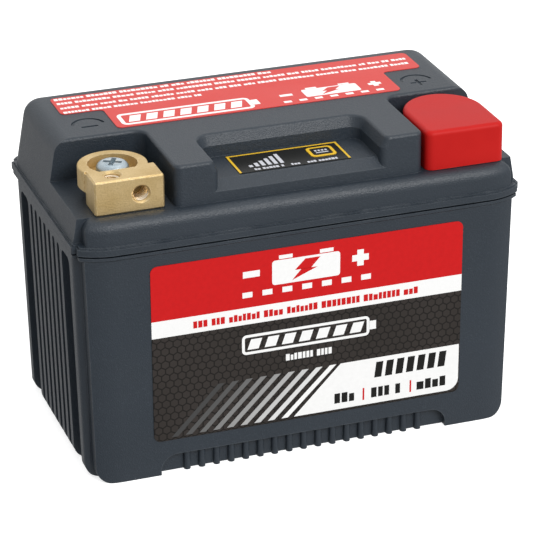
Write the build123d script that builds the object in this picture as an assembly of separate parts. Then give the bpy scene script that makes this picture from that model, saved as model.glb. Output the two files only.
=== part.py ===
from build123d import *

import math
import os

# Motorcycle battery, 150 x 87 x 105 mm: a drafted plastic container closed by a welded lid, two
# brass terminal blocks in niches, a charge display with a test button, and a lithium cell pack.
# Frame: millimetres, +Z up, +X along the length, -Y is the front. Origin: middle of the underside.

# Case
LENGTH = 150.0
WIDTH = 87.0
HEIGHT = 105.0
END_HALF_Y = 37.5          # half-width of the flat end faces at the joint flange
PANEL_HALF_X = 73.6        # half-length of the bowed front and rear panels at the flange
PANEL_BOW_RADIUS = 20.0    # the panels' ends curve back on this radius
PANEL_FLAT_HALF_X = 62.0   # where that curve starts
WALL_INSET = 1.0           # container wall, inside the flange's outline, at the ends
PANEL_INSET = 0.95         # the same, at the panels
PANEL_END_INSET = 1.9      # the same, at the panels' own ends
CORE_INSET = 1.5           # the same, beside the end faces
WALL = 2.5
DRAFT_DEGREES = 1.03
FLOOR = 2.5
CORNER = 3.0               # vertical edges of the container's end faces
FLANGE_CORNER = 0.6
BOTTOM_RADIUS = 5.0        # the ends turn under on this radius; front and rear edges are sharp
GROOVE_DEPTH = 2.2
FOOT_DEPTH = 2.6           # recess between the feet, front and rear
FOOT_HEIGHT = 7.0
FOOT_HALF_X = 49.2

# Joint band between container and lid
RIM_LOW = 78.4
SEAM = 80.5
SEAM_GAP = 0.7
FLANGE_TOP = 83.2
RIM_STEP = 0.35            # the container's rim is this far inside the lid's flange

# Lid
LID_HALF_X = 74.0          # shoulders, at the flange
LID_HALF_Y = 42.0
DOME_TAPER_DEGREES = 10.0  # lean of the shoulders
DOME_CORNER = 9.6          # the shoulders' upright corners, at the flange
DOME_RADIUS = 5.5          # rounding into the top
LID_END_HALF_Y = 36.0
NOSE_HALF_Y = 42.5
NOSE_END_INSET = 2.4
LEDGE = 91.3               # floor of the niches and top of the front bullnose
BULLNOSE_RADIUS = 3.8
BLOCK_HALF_X = 41.3        # the raised middle that carries the display
BLOCK_FRONT = -38.2
BLOCK_CORNER = 2.6
MARK_X = 56.5              # polarity marks
NICHE_BACK = -4.4
EDGE = 1.1                 # rounding of the plateau's edges

# Display recess
RECESS_HALF_X = 26.9
RECESS_BACK = -17.2
RECESS_FLOOR = 97.5
RECESS_BEND = -34.6        # where the floor turns down to the front
RECESS_SILL = 94.7
RECESS_SLOPE_LOW = 101.4
RECESS_FLARE = 1.7
RECESS_MOUTH_RADIUS = 2.2
KEY_CENTRE = (11.45, -25.2)
KEY_SIZE = (8.6, 7.6)
KEY_GAP = 0.2
KEY_TRAVEL = 0.4
BAR_COUNT = 6
BAR_PITCH = 2.05
BAR_FIRST_X = -13.45
BAR_FOOT_Y = -28.7
FINGER = 1.0               # side of the light guide's square fingers
FINGER_SLOT = 1.2
POST_X = 20.0              # screw posts of the display board
POST_Y = -14.8
POST_RADIUS = 2.6
POST_PILOT = 1.0

# Terminals, given for the positive side (+X)
BAR_X = (44.2, 66.7)
BAR_Y = (-36.7, -26.0)
BAR_TOP = 102.6
COLLAR_CENTRE = (56.8, -22.6)
COLLAR_RADIUS = 11.1
COLLAR_LOW = 96.0
NECK_RADIUS = 8.0
COUNTERBORE_RADIUS = 7.9
COUNTERBORE_FRONT = -28.0
COUNTERBORE_FLOOR = 99.2
THREAD_RADIUS = 2.5        # M6, at the crests of the tapped hole
THREAD_DEPTH = 8.0
COUNTERSINK = 0.6
TOP_HOLE = (59.6, -31.7)
FRONT_HOLE = (51.8, 97.0)
SCREW_RADIUS = 2.95        # M6
SCREW_TURN = 28            # degrees, where the cross recess stopped
HEAD_RADIUS = 5.25
HEAD_HEIGHT = 3.9
BUSH_RADIUS = 6.0
BUSH_FLANGE = 8.0
BUSH_LOW = 85.5
BUSH_BOSS = 3.0            # plastic moulded round the bush
LUG = 1.0
WIRE_RADIUS = 2.1

# Terminal cap
CAP_X = (42.5, 69.3)
CAP_FRONT = -38.5
CAP_TOP = 104.6
CAP_BACK_CENTRE = -20.4    # where the sides turn into the round back
CAP_BACK_REACH = 14.6
CAP_CORNER = 2.6
CAP_EDGE = 1.6             # rounding of the roof's edge
CAP_WALL = 0.9
CAP_ROOF = 1.2
CAP_LIFT = 0.2             # the cap's rim stands this far off the niche floor

# Labels
LABEL = 0.25
FRONT_LABEL_X = (-51.5, 53.6)
FRONT_LABEL_Z = (12.5, 74.4)
TOP_LABEL_HALF_X = 62.5
TOP_LABEL_Y = (-1.0, 31.6)
TOP_LABEL_STEP = (48.6, 16.6)
DISPLAY_LABEL_HALF_X = 18.65
DISPLAY_LABEL_Y = (-33.5, -18.95)

# Cell pack: round cells, 26 mm across and 65 mm long, four in series by two in parallel
CELL_RADIUS = 13.0
CELL_LENGTH = 65.0
CELL_X = (-42.0, -14.0, 14.0, 42.0)
CELL_Y = (-14.0, 14.0)
CELL_BASE = 6.0
CELL_FIT = 0.15
PLATE = 0.5
HOLDER_HALF = (60.0, 32.0)
HOLDER_DEPTH = 8.0
CELL_TOP = CELL_BASE + CELL_LENGTH
PACK_TOP = CELL_TOP + PLATE
BOARD = 1.6
BMS_BASE = 75.0
BMS_HALF = (44.0, 25.0)
DISPLAY_BOARD_BASE = 89.2

os.makedirs("parts", exist_ok=True)


def save(shape, name):
    export_step(shape, f"parts/{name}.step")


def block(x, y, z):
    """A box given by its (low, high) limits on each axis."""
    size = Box(x[1] - x[0], y[1] - y[0], z[1] - z[0])
    return Pos((x[0] + x[1]) / 2, (y[0] + y[1]) / 2, (z[0] + z[1]) / 2) * size


def rod(centre, radius, z):
    """An upright cylinder about (x, y) between two heights."""
    return Pos(centre[0], centre[1], (z[0] + z[1]) / 2) * Cylinder(radius, z[1] - z[0])


def prism(sketch, z):
    return Pos(0, 0, z[0]) * extrude(sketch, z[1] - z[0])


def mirrored(shape):
    return mirror(shape, Plane.YZ)


def upright(shape):
    return shape.edges().filter_by(Axis.Z)


# ---- plan outlines -------------------------------------------------------------------------

def core_plan(end_inset, side_inset, corner):
    """Rectangle that carries the flat end faces."""
    half_x = LENGTH / 2 - end_inset
    half_y = END_HALF_Y - side_inset
    return RectangleRounded(2 * half_x, 2 * half_y, corner)


def panel_plan(end_inset, side_inset):
    """The front and rear panels: proud of the core, with bowed ends."""
    half_x = PANEL_HALF_X - end_inset
    half_y = WIDTH / 2 - side_inset
    bow = PANEL_FLAT_HALF_X + PANEL_BOW_RADIUS
    straight = Rectangle(2 * half_x, 2 * half_y)
    return straight & RectangleRounded(2 * bow, 2 * half_y, PANEL_BOW_RADIUS)


def full_plan(end_inset, side_inset):
    return core_plan(end_inset, side_inset, FLANGE_CORNER) + panel_plan(end_inset, side_inset)


# ---- container -----------------------------------------------------------------------------

LEAN = math.tan(math.radians(DRAFT_DEGREES))
FACE_FOOT_X = LENGTH / 2 - WALL_INSET - RIM_LOW * LEAN
FACE_FOOT_Y = WIDTH / 2 - PANEL_INSET - RIM_LOW * LEAN


def drafted(sketch, top, low):
    """Prism that narrows downward."""
    return extrude(Pos(0, 0, top) * sketch, top - low, dir=(0, 0, -1), taper=DRAFT_DEGREES)


def turned_under(body, foot_x):
    """The body with its two end faces rounded where they meet the bottom."""
    top_x = foot_x + RIM_LOW * LEAN
    outline = Polyline((-foot_x, 0), (foot_x, 0), (top_x, RIM_LOW), (-top_x, RIM_LOW), close=True)
    profile = make_face(outline)
    profile = fillet(profile.vertices().group_by(Axis.Y)[0], BOTTOM_RADIUS)
    return body & extrude(Plane.XZ * profile, WIDTH, both=True)


def end_grooves(side):
    """Upright grooves cut in an end face: they leave a row of ribs, and run out at the bottom."""
    top = 75.6
    pitch = 5.5
    groove = 2.8
    inner = 7
    panel_half = 30.0
    reach = 12.0
    inner_end = 1.1
    outer_end = 2.6
    wide = panel_half - (inner / 2 * pitch + (pitch - groove) / 2)
    sketch = Sketch()
    for index in range(inner):
        y = (index - (inner - 1) / 2) * pitch
        sketch += Pos(y, (top - reach) / 2) * RectangleRounded(groove, top + reach, inner_end)
    for sign in (-1, 1):
        y = sign * (panel_half - wide / 2)
        sketch += Pos(y, (top - reach) / 2) * RectangleRounded(wide, top + reach, outer_end)
    face = Plane(origin=(side * FACE_FOOT_X, 0, 0), x_dir=(0, side, 0), z_dir=(side, 0, -LEAN))
    return extrude(face * sketch, GROOVE_DEPTH, both=True)


def foot_recess(side):
    """Recess between the feet of a panel, with a comb of short round-nosed ribs."""
    corner = 5.5
    ribs = 17
    pitch = 5.0
    rib = 2.2
    nose_back = 0.9
    below = 12.0
    top = FOOT_HEIGHT
    outline = Pos(0, (top - below) / 2) * RectangleRounded(2 * FOOT_HALF_X, top + below, corner)
    face = Plane(origin=(0, side * FACE_FOOT_Y, 0), x_dir=(-side, 0, 0), z_dir=(0, side, -LEAN))
    body = extrude(face * outline, FOOT_DEPTH, both=True)
    back = FACE_FOOT_Y - FOOT_DEPTH - 1.0
    nose = FACE_FOOT_Y - nose_back - rib / 2
    for index in range(ribs):
        x = (index - (ribs - 1) / 2) * pitch
        body -= block((x - rib / 2, x + rib / 2), sorted((side * back, side * nose)), (0, top + 1))
        body -= rod((x, side * nose), rib / 2, (0, top + 1))
    return body


def cavity():
    """Inside of the container: narrower at the bottom, behind the foot recesses."""
    half_x = LENGTH / 2 - WALL_INSET - GROOVE_DEPTH - WALL
    half_y = WIDTH / 2 - PANEL_INSET - WALL
    corner = 9.0
    plan = RectangleRounded(2 * half_x, 2 * half_y, corner)
    body = drafted(plan, RIM_LOW, FLOOR)
    body += prism(plan, (RIM_LOW, SEAM))
    shelf = FACE_FOOT_Y - FOOT_DEPTH - WALL
    for side in (-1, 1):
        body -= block((-LENGTH, LENGTH), sorted((side * shelf, side * WIDTH)),
                      (0, FOOT_HEIGHT + WALL))
    return body


def make_container():
    core = drafted(core_plan(WALL_INSET, CORE_INSET, CORNER), RIM_LOW, 0)
    panel = drafted(panel_plan(PANEL_END_INSET, PANEL_INSET), RIM_LOW, 0)
    body = turned_under(core, FACE_FOOT_X)
    body += turned_under(panel, PANEL_HALF_X - PANEL_END_INSET - RIM_LOW * LEAN)
    for side in (-1, 1):
        body -= end_grooves(side)
        body -= foot_recess(side)
    rim = prism(full_plan(RIM_STEP, RIM_STEP), (RIM_LOW, SEAM - SEAM_GAP))
    rim = chamfer(rim.faces().sort_by(Axis.Z)[0].edges(), 0.5)
    return body + rim - cavity()


# ---- lid -----------------------------------------------------------------------------------

def dome(inset):
    """Leaning, rounded-over ends and back of the lid; the inset makes the hollow inside it."""
    half_x = LID_HALF_X - inset
    back = LID_HALF_Y - inset
    reach = 3 * WIDTH
    top = HEIGHT - inset
    plan = Pos(0, back - reach / 2) * RectangleRounded(2 * half_x, reach, DOME_CORNER - inset)
    body = extrude(Pos(0, 0, FLANGE_TOP) * plan, top - FLANGE_TOP, taper=DOME_TAPER_DEGREES)
    body = fillet(body.faces().sort_by(Axis.Z)[-1].edges(), DOME_RADIUS - inset)
    return body + prism(plan, (SEAM - 1, FLANGE_TOP))


def lid_plan(inset):
    core = RectangleRounded(2 * (LID_HALF_X - inset), 2 * (LID_END_HALF_Y - inset), FLANGE_CORNER)
    return core + panel_plan(NOSE_END_INSET + inset, WIDTH / 2 - NOSE_HALF_Y + inset)


def niche(grow):
    """Open corner of the lid over a terminal (+X side)."""
    x = (BLOCK_HALF_X - grow, LENGTH)
    y = (-WIDTH, NICHE_BACK + grow)
    cut = block(x, y, (LEDGE - grow, HEIGHT + 5))
    corner = upright(cut).sort_by(Axis.X)[0:2].sort_by(Axis.Y)[-1]
    return fillet(corner, 4.0)


def recess_plan(grow):
    """Plan of the display recess."""
    back = RECESS_BACK + grow
    width = 2 * (RECESS_HALF_X + grow)
    return Pos(0, back - WIDTH / 2) * RectangleRounded(width, WIDTH, 4.0 + grow)


def mouthed_plan(grow):
    """The same plan, rounded outward where it runs out of the front of the block."""
    wide = Pos(0, BLOCK_FRONT - WIDTH / 2) * Rectangle(LENGTH, WIDTH)
    plan = recess_plan(grow) + wide
    mouth = plan.vertices().filter_by_position(Axis.Y, BLOCK_FRONT - 0.01, BLOCK_FRONT + 0.01)
    inner = [corner for corner in mouth if abs(corner.X) < LENGTH / 4]
    return fillet(inner, RECESS_MOUTH_RADIUS)


def display_recess():
    """Recess for the display, open to the front, with flared upper walls and a sloping sill."""
    over = HEIGHT + 5
    outline = Polyline((0, RECESS_FLOOR), (RECESS_BEND, RECESS_FLOOR), (BLOCK_FRONT, RECESS_SILL),
                       (-2 * WIDTH, RECESS_SILL), (-2 * WIDTH, over), (0, over), close=True)
    above_floor = extrude(Plane.YZ * make_face(outline), LENGTH, both=True)
    body = prism(mouthed_plan(0), (RECESS_SILL, over)) & above_floor
    low = Pos(0, 0, RECESS_SLOPE_LOW) * mouthed_plan(0)
    high = Pos(0, 0, HEIGHT) * mouthed_plan(RECESS_FLARE)
    return body + loft([low, high], ruled=True)


def polarity_mark(x, positive):
    """Sign under an arc, sunk in the plateau beside each niche."""
    radius = 5.5
    groove = 1.0
    middle = 5.8
    depth = 0.4
    below = -1.9
    ring = Circle(radius) - Circle(radius - groove)
    ring &= Pos(0, radius) * Rectangle(3 * radius, 2 * radius)
    sign = Pos(0, below) * Rectangle(5.6, 1.1)
    if positive:
        sign += Pos(0, below) * Rectangle(1.1, 5.2)
    return prism(Pos(x, middle) * (ring + sign), (HEIGHT - depth, HEIGHT + 1))


def front_bullnose():
    """Front wall of the lid, proud of the corners and rounded over at the top."""
    depth = 32.0
    plan = panel_plan(NOSE_END_INSET, WIDTH / 2 - NOSE_HALF_Y)
    plan &= Pos(0, -WIDTH / 2) * Rectangle(2 * LENGTH, 2 * depth)
    body = prism(plan, (SEAM, LEDGE))
    body = fillet(upright(body).sort_by(Axis.Y)[2:4], 1.2)
    crown = body.faces().sort_by(Axis.Z)[-1].edges().sort_by(Axis.Y)[:-1]
    return fillet(crown, BULLNOSE_RADIUS)


def middle_block():
    """Raised block between the niches that carries the display."""
    x = (-BLOCK_HALF_X, BLOCK_HALF_X)
    body = block(x, (BLOCK_FRONT, 10), (LEDGE - 2, HEIGHT))
    body = fillet(upright(body).sort_by(Axis.Y)[0:2], BLOCK_CORNER)
    return body


def bar_x(index):
    return BAR_FIRST_X + index * BAR_PITCH


def key_plan(grow):
    size = [side + 2 * grow for side in KEY_SIZE]
    return Pos(*KEY_CENTRE) * RectangleRounded(size[0], size[1], 1.5 + grow)


def lid_hollow():
    body = prism(lid_plan(WALL), (SEAM - 1, HEIGHT)) & dome(WALL)
    body -= niche(WALL)
    body -= mirrored(niche(WALL))
    front_wall = block((-LENGTH, LENGTH), (-WIDTH, BLOCK_FRONT + WALL), (LEDGE - 2 * WALL, HEIGHT))
    recess = prism(recess_plan(WALL), (RECESS_FLOOR - WALL, HEIGHT))
    return body - front_wall - recess


def make_lid():
    shell = prism(lid_plan(0), (SEAM, HEIGHT))
    front = (-WIDTH, BLOCK_FRONT + 2 * BLOCK_CORNER)
    shell -= block((-LENGTH, LENGTH), front, (LEDGE, HEIGHT + 5))
    shell -= block((-LENGTH, LENGTH), (-WIDTH, -LID_END_HALF_Y), (SEAM - 1, HEIGHT + 5))
    shell += front_bullnose()
    shell -= niche(0)
    shell -= mirrored(niche(0))
    shell += middle_block()
    shell -= display_recess()
    top_edges = shell.faces().sort_by(Axis.Z)[-1].edges()
    front_edges = [edge for edge in top_edges if edge.bounding_box().max.Y < NICHE_BACK + 0.1]
    shell = fillet(front_edges, EDGE) & dome(0)
    shell += prism(full_plan(0, 0), (SEAM, FLANGE_TOP - FLANGE_CORNER))
    shell += prism(full_plan(FLANGE_CORNER, FLANGE_CORNER), (SEAM, FLANGE_TOP))
    shell -= lid_hollow()
    for side in (-1, 1):
        centre = (side * COLLAR_CENTRE[0], COLLAR_CENTRE[1])
        shell += rod(centre, BUSH_RADIUS + BUSH_BOSS, (BUSH_LOW + 2.0, LEDGE))
        shell -= rod(centre, BUSH_RADIUS, (BUSH_LOW, LEDGE + 1))
        shell -= polarity_mark(side * MARK_X, side > 0)
        post = (side * POST_X, POST_Y)
        shell += rod(post, POST_RADIUS, (DISPLAY_BOARD_BASE + BOARD, RECESS_FLOOR - 1))
        shell -= rod(post, POST_PILOT, (DISPLAY_BOARD_BASE, RECESS_FLOOR - 3))
    through = (RECESS_FLOOR - 2 * WALL, RECESS_FLOOR + 1)
    shell -= prism(key_plan(KEY_GAP), through)
    for index in range(BAR_COUNT):
        slot = Rectangle(FINGER_SLOT, FINGER_SLOT)
        shell -= prism(Pos(bar_x(index), BAR_FOOT_Y) * slot, through)
    return shell


# ---- terminals (+X side) --------------------------------------------------------------------

def terminal_block():
    """Brass bar with two tapped M6 holes, and behind it a collar sunk for its fixing screw."""
    bar = block(BAR_X, BAR_Y, (LEDGE, BAR_TOP))
    bar = chamfer(bar.edges(), 0.5)
    taper = COLLAR_RADIUS - NECK_RADIUS
    collar = rod(COLLAR_CENTRE, COLLAR_RADIUS, (COLLAR_LOW, BAR_TOP))
    collar = fillet(collar.edges().sort_by(Axis.Z)[-1], 0.5)
    low = COLLAR_LOW - taper
    cone = Cone(NECK_RADIUS, COLLAR_RADIUS, taper)
    collar += Pos(*COLLAR_CENTRE, COLLAR_LOW - taper / 2) * cone
    collar += rod(COLLAR_CENTRE, NECK_RADIUS, (LEDGE, low))
    collar -= block((0, LENGTH), (-WIDTH, BAR_Y[1] - 0.6), (0, HEIGHT))
    outer = COLLAR_CENTRE[0] + COLLAR_RADIUS - 0.05
    flank = Polyline((BAR_X[1] - 4, BAR_Y[1] - 2), (BAR_X[1], BAR_Y[1] - 2),
                     (outer, COLLAR_CENTRE[1] - 0.4), (BAR_X[1] - 4, COLLAR_CENTRE[1] - 0.4),
                     close=True)
    body = bar + collar + prism(make_face(flank), (COLLAR_LOW, BAR_TOP - 0.5))
    sink = rod(COLLAR_CENTRE, COUNTERBORE_RADIUS, (COUNTERBORE_FLOOR, HEIGHT))
    sink -= block((0, LENGTH), (-WIDTH, COUNTERBORE_FRONT), (0, HEIGHT + 1))
    body -= sink
    body -= rod(COLLAR_CENTRE, SCREW_RADIUS + 0.3, (LEDGE, HEIGHT))
    body -= rod(TOP_HOLE, THREAD_RADIUS, (BAR_TOP - THREAD_DEPTH, HEIGHT))
    mouth = Cone(THREAD_RADIUS, THREAD_RADIUS + COUNTERSINK, COUNTERSINK)
    body -= Pos(*TOP_HOLE, BAR_TOP - COUNTERSINK / 2) * mouth
    drill = Cylinder(THREAD_RADIUS, THREAD_DEPTH)
    side = Pos(FRONT_HOLE[0], BAR_Y[0] + THREAD_DEPTH / 2, FRONT_HOLE[1])
    body -= side * Rot(90, 0, 0) * drill
    side = Pos(FRONT_HOLE[0], BAR_Y[0] + COUNTERSINK / 2, FRONT_HOLE[1])
    return body - side * Rot(90, 0, 0) * mouth


def pan_head_screw(radius, head_radius, head_height, length):
    """Cross-recessed pan-head screw standing on z = 0, its shank pointing down."""
    head = Pos(0, 0, head_height / 2) * Cylinder(head_radius, head_height)
    head = fillet(head.edges().sort_by(Axis.Z)[-1], 0.55 * head_height)
    slot = Box(1.15 * head_radius, 0.3 * head_radius, head_height)
    cross = slot + Rot(0, 0, 90) * slot
    head -= Pos(0, 0, head_height) * cross
    return head + Pos(0, 0, -length / 2) * Cylinder(radius, length)


def terminal_screw():
    length = COUNTERBORE_FLOOR - BUSH_LOW - 1.5
    screw = pan_head_screw(SCREW_RADIUS, HEAD_RADIUS, HEAD_HEIGHT, length)
    return Pos(*COLLAR_CENTRE, COUNTERBORE_FLOOR) * Rot(0, 0, SCREW_TURN) * screw


def terminal_bush():
    """Flanged brass bush moulded into the lid under a terminal block."""
    body = rod(COLLAR_CENTRE, BUSH_RADIUS - 0.02, (BUSH_LOW, LEDGE))
    body += rod(COLLAR_CENTRE, BUSH_FLANGE, (BUSH_LOW - 1.5, BUSH_LOW + 1.98))
    return body - rod(COLLAR_CENTRE, SCREW_RADIUS + 0.03, (BUSH_LOW, LEDGE))


def terminal_lug():
    """Flat copper lug soldered under the bush, with a barrel for the lead."""
    top = BUSH_LOW - 1.5
    plate = rod(COLLAR_CENTRE, 6.0, (top - LUG, top))
    y = (COLLAR_CENTRE[1], COLLAR_CENTRE[1] + 9.0)
    plate += block((COLLAR_CENTRE[0] - 3, COLLAR_CENTRE[0] + 3), y, (top - LUG, top))
    barrel = Cylinder(WIRE_RADIUS + 0.7, 7.0) - Cylinder(WIRE_RADIUS - 0.4, 7.0)
    centre = (COLLAR_CENTRE[0], y[1] + 3.0, top - WIRE_RADIUS - 0.7)
    return plate + Pos(*centre) * Rot(90, 0, 0) * barrel


def terminal_lead(end):
    """Insulated lead: straight back from the lug's barrel, then across and down to its end."""
    barrel_end = COLLAR_CENTRE[1] + 9.0 + 6.5
    height = BUSH_LOW - 1.5 - WIRE_RADIUS - 0.7
    bend = 5.5
    points = [(COLLAR_CENTRE[0], barrel_end, height), (COLLAR_CENTRE[0], end[1], height),
              (COLLAR_CENTRE[0], end[1], end[2])]
    path = FilletPolyline(*points, radius=bend)
    section = Plane(origin=points[0], z_dir=(0, 1, 0)) * Circle(WIRE_RADIUS)
    return sweep(section, path)


def cap_body(shrink, z):
    """D-shaped prism: flat in front, round behind."""
    radius = (CAP_X[1] - CAP_X[0]) / 2 - shrink
    middle = (CAP_X[0] + CAP_X[1]) / 2
    front = CAP_FRONT + shrink
    straight = block((middle - radius, middle + radius), (front, CAP_BACK_CENTRE), z)
    straight = fillet(upright(straight).sort_by(Axis.Y)[0:2], CAP_CORNER - shrink)
    back = Pos(middle, CAP_BACK_CENTRE) * Ellipse(radius, CAP_BACK_REACH - shrink)
    return straight + prism(back, z)


def terminal_cap():
    """Soft cover that pulls straight up off the positive terminal."""
    rim = LEDGE + CAP_LIFT
    body = cap_body(0, (rim, CAP_TOP))
    body = fillet(body.faces().sort_by(Axis.Z)[-1].edges(), CAP_EDGE)
    return body - cap_body(CAP_WALL, (rim, CAP_TOP - CAP_ROOF))


# ---- labels --------------------------------------------------------------------------------

def front_label():
    face = Plane(origin=(0, -FACE_FOOT_Y, 0), x_dir=(1, 0, 0), z_dir=(0, -1, -LEAN))
    size = (FRONT_LABEL_X[1] - FRONT_LABEL_X[0], FRONT_LABEL_Z[1] - FRONT_LABEL_Z[0])
    centre = Pos(sum(FRONT_LABEL_X) / 2, sum(FRONT_LABEL_Z) / 2)
    return extrude(face * centre * RectangleRounded(*size, 2.3), LABEL)


def top_label():
    """Cut back at both front corners to leave the polarity marks clear."""
    low, high = TOP_LABEL_Y
    half, step = TOP_LABEL_STEP
    wide = Pos(0, (step + high) / 2) * Rectangle(2 * TOP_LABEL_HALF_X, high - step)
    plan = wide + Pos(0, (low + high) / 2) * Rectangle(2 * half, high - low)
    plan = fillet(plan.vertices(), 1.8)
    return prism(plan, (HEIGHT, HEIGHT + LABEL))


def display_label():
    low, high = DISPLAY_LABEL_Y
    plan = Pos(0, (low + high) / 2) * RectangleRounded(2 * DISPLAY_LABEL_HALF_X, high - low, 0.6)
    plan -= key_plan(KEY_GAP)
    return prism(plan, (RECESS_FLOOR, RECESS_FLOOR + LABEL))


# ---- display -------------------------------------------------------------------------------

KEY_FLANGE_TOP = RECESS_FLOOR - WALL - 0.1
KEY_FLANGE = 0.7


def test_button():
    body = prism(key_plan(0), (KEY_FLANGE_TOP - KEY_FLANGE, RECESS_FLOOR + LABEL + 0.15))
    return body + prism(key_plan(1.0), (KEY_FLANGE_TOP - KEY_FLANGE, KEY_FLANGE_TOP))


BOARD_TOP = DISPLAY_BOARD_BASE + BOARD
SWITCH_TOP = KEY_FLANGE_TOP - KEY_FLANGE - 1.0


SWITCH_SIDE = 6.0
SWITCH_WELL = BOARD_TOP + 0.8
PLUNGER_RADIUS = 1.75


def test_switch():
    body = prism(Pos(*KEY_CENTRE) * Rectangle(SWITCH_SIDE, SWITCH_SIDE), (BOARD_TOP, SWITCH_TOP))
    return body - rod(KEY_CENTRE, PLUNGER_RADIUS + 0.05, (SWITCH_WELL, HEIGHT))


def switch_plunger():
    foot = SWITCH_WELL + KEY_TRAVEL + 0.3
    return rod(KEY_CENTRE, PLUNGER_RADIUS, (foot, KEY_FLANGE_TOP - KEY_FLANGE))


def light_guide():
    """Clear strip with one small finger up through the recess floor for each charge level."""
    strip = 1.2
    foot = RECESS_FLOOR - WALL - 1.5 * strip
    x = (bar_x(0) - strip, bar_x(BAR_COUNT - 1) + strip)
    body = block(x, (BAR_FOOT_Y - strip, BAR_FOOT_Y + strip), (foot, foot + strip))
    for index in range(BAR_COUNT):
        centre = (bar_x(index), BAR_FOOT_Y)
        body += prism(Pos(*centre) * Rectangle(FINGER, FINGER), (foot, RECESS_FLOOR))
    return body


def charge_leds():
    leds = []
    for index in range(BAR_COUNT):
        leds.append(Pos(bar_x(index), BAR_FOOT_Y, BOARD_TOP + 0.4) * Box(1.4, 1.6, 0.8))
    return Compound(leds)


def display_board():
    board = block((-23.5, 23.5), (-33.0, -12.0), (DISPLAY_BOARD_BASE, BOARD_TOP))
    for x in (-POST_X, POST_X):
        board -= rod((x, POST_Y), 1.3, (0, HEIGHT))
    return board


def display_screws():
    screws = []
    for x in (-POST_X, POST_X):
        screw = Rot(180, 0, 0) * pan_head_screw(0.98, 1.9, 1.3, 5.0)
        screws.append(Pos(x, POST_Y, DISPLAY_BOARD_BASE) * screw)
    return Compound(screws)


# ---- cell pack -----------------------------------------------------------------------------

def cell(x, y):
    """Round cell with a crimped neck and a raised positive button."""
    can = rod((x, y), CELL_RADIUS, (CELL_BASE, CELL_TOP))
    can = fillet(can.edges().group_by(Axis.Z)[0], 1.0)
    neck = rod((x, y), CELL_RADIUS + 1, (0, 1.2)) - rod((x, y), CELL_RADIUS - 0.7, (0, 1.2))
    return can - Pos(0, 0, CELL_TOP - 4.0) * neck


def plate_plan(x_limits, grow=0.0):
    half_y = 25.0
    width = x_limits[1] - x_limits[0] + 2 * grow
    return Pos(sum(x_limits) / 2) * RectangleRounded(width, 2 * (half_y + grow), 2.0)


LINK_GAP = 3.0
LOW_LINKS = {"bottom_link_left": (-53.0, -LINK_GAP), "bottom_link_right": (LINK_GAP, 53.0)}
TOP_LINKS = {"negative_collector": (-53.0, -31.0), "top_link": (-25.0, 25.0),
             "positive_collector": (31.0, 53.0)}
EAR_Y = (-2.0, 10.0)
EAR_X = 60.5


def link(x_limits, low):
    """Nickel strip joining cells, with a relief slot over each weld."""
    plan = plate_plan(x_limits)
    for x in CELL_X:
        for y in CELL_Y:
            if x_limits[0] < x < x_limits[1]:
                plan -= Pos(x, y) * Rectangle(1.2, 7.0)
    return prism(plan, (low, low + PLATE))


def collector(x_limits):
    """End strip with an ear that takes a lead."""
    side = 1 if x_limits[0] > 0 else -1
    inner = side * 50.0
    ear_x = sorted((inner, side * EAR_X))
    ear = block(ear_x, EAR_Y, (CELL_TOP, PACK_TOP))
    return link(x_limits, CELL_TOP) + ear


def holder(z, cell_side, links):
    """Tray that spaces the cells; the links lie in pockets in its outer face."""
    plan = RectangleRounded(2 * HOLDER_HALF[0], 2 * HOLDER_HALF[1], 4.0)
    body = prism(plan, z)
    for x in CELL_X:
        for y in CELL_Y:
            body -= rod((x, y), CELL_RADIUS + CELL_FIT, cell_side)
    outer = (z[0], cell_side[0]) if cell_side[0] > z[0] else (cell_side[1], z[1])
    for limits in links.values():
        body -= prism(plate_plan(limits, 0.3), outer)
    return body


def lower_holder():
    low = CELL_BASE - PLATE
    z = (low, low + HOLDER_DEPTH)
    return holder(z, (CELL_BASE, z[1]), LOW_LINKS)


STANDOFF = [(sx * (BMS_HALF[0] - 4), sy * (BMS_HALF[1] - 4)) for sx in (-1, 1) for sy in (-1, 1)]


def upper_holder():
    z = (PACK_TOP - HOLDER_DEPTH, PACK_TOP)
    body = holder(z, (z[0], CELL_TOP), TOP_LINKS)
    for side in (-1, 1):
        ear_x = sorted((side * 50.0, side * (EAR_X + 1)))
        body -= block(ear_x, (EAR_Y[0] - 0.3, EAR_Y[1] + 0.3), (CELL_TOP, PACK_TOP))
    return body


def insulation_sheet():
    plan = RectangleRounded(2 * 55.0, 2 * HOLDER_HALF[1], 3.0)
    for side in (-1, 1):
        plan -= Pos(side * 56.5, sum(EAR_Y) / 2) * Rectangle(12.0, 14.0)
    return prism(plan, (PACK_TOP, PACK_TOP + 0.4))


SHEET_TOP = PACK_TOP + 0.4


def board_spacers():
    return Compound([rod(at, 3.0, (SHEET_TOP, BMS_BASE)) - rod(at, 1.25, (SHEET_TOP, BMS_BASE))
                     for at in STANDOFF])


def bms_board():
    plan = RectangleRounded(2 * BMS_HALF[0], 2 * BMS_HALF[1], 1.5)
    board = prism(plan, (BMS_BASE, BMS_BASE + BOARD))
    for at in STANDOFF:
        board -= rod(at, 1.4, (0, HEIGHT))
    return board


BMS_TOP = BMS_BASE + BOARD


def bms_screws():
    screw = pan_head_screw(1.2, 2.3, 1.6, BMS_TOP - SHEET_TOP - 0.3)
    return Compound([Pos(*at, BMS_TOP) * screw for at in STANDOFF])


def bms_transistors():
    """Two rows of power transistors that switch the pack."""
    pieces = []
    for index in range(5):
        for y in (-12.0, 12.0):
            x = -30.0 + index * 11.0
            pieces.append(block((x - 3.2, x + 3.2), (y - 4.5, y + 4.5), (BMS_TOP, BMS_TOP + 2.3)))
    return Compound(pieces)


def bms_controller():
    return block((22.0, 30.0), (-4.0, 4.0), (BMS_TOP, BMS_TOP + 1.5))


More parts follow.
